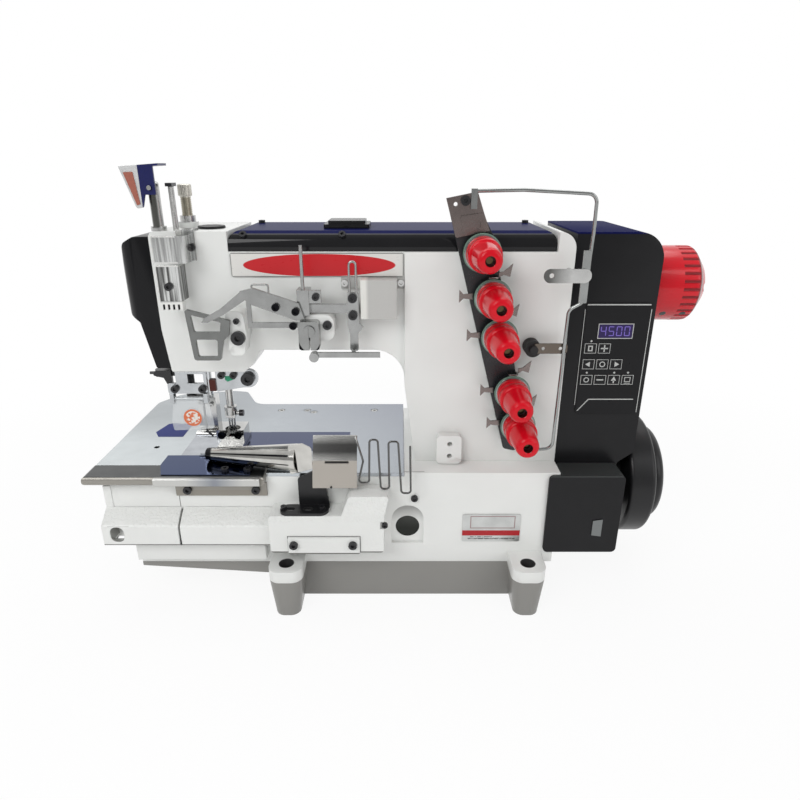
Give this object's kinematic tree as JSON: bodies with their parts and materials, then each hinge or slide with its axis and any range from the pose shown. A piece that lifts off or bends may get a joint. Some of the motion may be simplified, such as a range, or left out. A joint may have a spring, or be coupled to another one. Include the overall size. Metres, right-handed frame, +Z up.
{
  "type": "flatbed interlock sewing machine",
  "caption": "Industrial flatbed interlock sewing machine with direct-drive motor, tape binder, row of thread tension knobs, hinged looper cover and handwheel.",
  "frame": {"origin": "centre of the four mounting-lug holes, level with the undersides of the lugs", "axes": "+X towards the handwheel and motor, -Y towards the operator, +Z up"},
  "size_m": [0.625, 0.2822, 0.4415],
  "materials": {
    "white_paint": "semi-gloss white enamel on cast iron",
    "grey_paint": "satin grey enamel",
    "bed_plate_paint": "satin blue-grey plate",
    "cast_grey": "bare cast",
    "polished_steel": "polished",
    "mirror_steel": "mirror",
    "binder_steel": "dark and bright steel",
    "dark_steel": "ground steel",
    "shaft_steel": "ground",
    "brown_steel": "brown oxide",
    "black_oxide": "black oxide",
    "black_gloss": "gloss",
    "black_plastic": "satin",
    "motor_black": "satin black",
    "panel_film": "film overlay",
    "key_film": "film keys",
    "label_metal": "anodised",
    "sight_glass": "dark sight glass",
    "clear_plastic": "clear",
    "red_plastic": "gloss",
    "black_rubber": "matt",
    "belt_rubber": "matt"
  },
  "bodies": {
    "frame": {"arm_bosses": "white_paint", "arm_casting": "white_paint", "arm_guides": "polished_steel", "bed_casting": "white_paint", "binder_bracket": "binder_steel", "binder_scroll": "polished_steel", "black_screws": "black_oxide", "clear_cover": "clear_plastic", "cloth_plate": "bed_plate_paint", "column_guides": "polished_steel", "control_box": "black_plastic", "control_panel": "panel_film", "cover_hinge": "black_oxide", "face_cover": "black_gloss", "front_block": "white_paint", "guide_frame": "cast_grey", "guide_post": "black_rubber", "head_brackets": "polished_steel", "label_plates": "label_metal", "motor_housing": "motor_black", "needle_plate": "mirror_steel", "nose_rail": "dark_steel", "oil_pan": "grey_paint", "oil_window": "black_gloss", "panel_keys": "key_film", "sight_glass": "sight_glass", "steel_screws": "polished_steel", "tape_guide": "polished_steel", "tension_discs": "mirror_steel", "tension_strip": "black_oxide", "thread_hooks": "brown_steel", "thread_shield": "polished_steel", "timing_belt": "belt_rubber", "top_cover": "black_gloss", "top_fittings": "polished_steel", "wire_frame": "polished_steel"},
    "upper_drive": {"upper_shaft": "shaft_steel", "handwheel": "red_plastic"},
    "lower_drive": {"lower_shaft": "shaft_steel"},
    "needle_drive": {"needle_bar": "mirror_steel", "needles": "mirror_steel"},
    "presser": {"presser_bar": "mirror_steel", "presser_foot": "polished_steel"},
    "pressure_adjuster": {"pressure_screw": "polished_steel"},
    "plug": {"oil_plug": "black_plastic"},
    "lifter": {"lifter_lever": "mirror_steel"},
    "takeup": {"takeup_lever": "polished_steel"},
    "spreader_drive": {"spreader": "dark_steel"},
    "looper_drive": {"looper": "shaft_steel"},
    "feed": {"feed_dog": "shaft_steel"},
    "guard": {"finger_guard": "clear_plastic"},
    "looper_door": {"looper_cover": "white_paint"},
    "side_door": {"side_cover": "white_paint"},
    "knob_1": {"tension_knob_1": "red_plastic"},
    "knob_2": {"tension_knob_2": "red_plastic"},
    "knob_3": {"tension_knob_3": "red_plastic"},
    "knob_4": {"tension_knob_4": "red_plastic"},
    "knob_5": {"tension_knob_5": "red_plastic"}
  },
  "joints": [
    {"name": "upper_shaft_turn", "type": "hinge", "parent": "frame", "child": "upper_drive", "pos_m": [0, 0, 0.326], "axis": [1, 0, 0], "continuous": true},
    {"name": "lower_shaft_turn", "type": "hinge", "parent": "frame", "child": "lower_drive", "pos_m": [0, 0, 0.107], "axis": [1, 0, 0], "continuous": true},
    {"name": "needle_bar_stroke", "type": "slide", "parent": "frame", "child": "needle_drive", "axis": [0, 0, 1], "range_m": [-0.014, 0.014]},
    {"name": "presser_lift", "type": "slide", "parent": "frame", "child": "presser", "axis": [0, 0, 1], "range_m": [0, 0.007]},
    {"name": "lifter_swing", "type": "hinge", "parent": "frame", "child": "lifter", "pos_m": [-0.232, -0.046, 0.421], "axis": [0, -1, 0], "range_deg": [0, 15]},
    {"name": "pressure_screw_turn", "type": "hinge", "parent": "frame", "child": "pressure_adjuster", "pos_m": [-0.216, -0.01, 0.395], "axis": [0, 0, 1], "continuous": true},
    {"name": "oil_plug_turn", "type": "hinge", "parent": "frame", "child": "plug", "pos_m": [-0.19, -0.022, 0.383], "axis": [0, 0, 1], "continuous": true},
    {"name": "takeup_rock", "type": "hinge", "parent": "frame", "child": "takeup", "pos_m": [-0.091, -0.07, 0.2974], "axis": [0, 1, 0], "range_deg": [-6, 6]},
    {"name": "spreader_rock", "type": "hinge", "parent": "frame", "child": "spreader_drive", "pos_m": [-0.226, -0.034, 0.24], "axis": [0, 0, 1], "range_deg": [-8, 8]},
    {"name": "looper_rock", "type": "hinge", "parent": "frame", "child": "looper_drive", "pos_m": [-0.195, -0.022, 0.072], "axis": [0, 1, 0], "range_deg": [-8, 8]},
    {"name": "feed_stroke", "type": "slide", "parent": "frame", "child": "feed", "axis": [0, 1, 0], "range_m": [-0.003, 0.003]},
    {"name": "guard_swing", "type": "hinge", "parent": "frame", "child": "guard", "pos_m": [-0.22, -0.057, 0.219], "axis": [1, 0, 0], "range_deg": [-95, 0]},
    {"name": "looper_cover_swing", "type": "hinge", "parent": "frame", "child": "looper_door", "pos_m": [-0.184, -0.1005, 0.0795], "axis": [1, 0, 0], "range_deg": [0, 95]},
    {"name": "side_cover_slide", "type": "slide", "parent": "frame", "child": "side_door", "axis": [-1, 0, 0], "range_m": [0, 0.04]},
    {"name": "tension_knob_1_turn", "type": "hinge", "parent": "frame", "child": "knob_1", "pos_m": [0.066, -0.1, 0.367], "axis": [0, -1, 0], "continuous": true},
    {"name": "tension_knob_2_turn", "type": "hinge", "parent": "frame", "child": "knob_2", "pos_m": [0.0775, -0.1, 0.3266], "axis": [0, -1, 0], "continuous": true},
    {"name": "tension_knob_3_turn", "type": "hinge", "parent": "frame", "child": "knob_3", "pos_m": [0.086, -0.1, 0.2895], "axis": [0, -1, 0], "continuous": true},
    {"name": "tension_knob_4_turn", "type": "hinge", "parent": "frame", "child": "knob_4", "pos_m": [0.1016, -0.1, 0.234], "axis": [0, -1, 0], "continuous": true},
    {"name": "tension_knob_5_turn", "type": "hinge", "parent": "frame", "child": "knob_5", "pos_m": [0.1096, -0.1, 0.199], "axis": [0, -1, 0], "continuous": true}
  ],
  "couplings": [
    {"joint": "lower_shaft_turn", "follows": "upper_shaft_turn", "ratio": 1},
    {"joint": "lifter_swing", "follows": "presser_lift", "rad_per_m": 37.39}
  ]
}
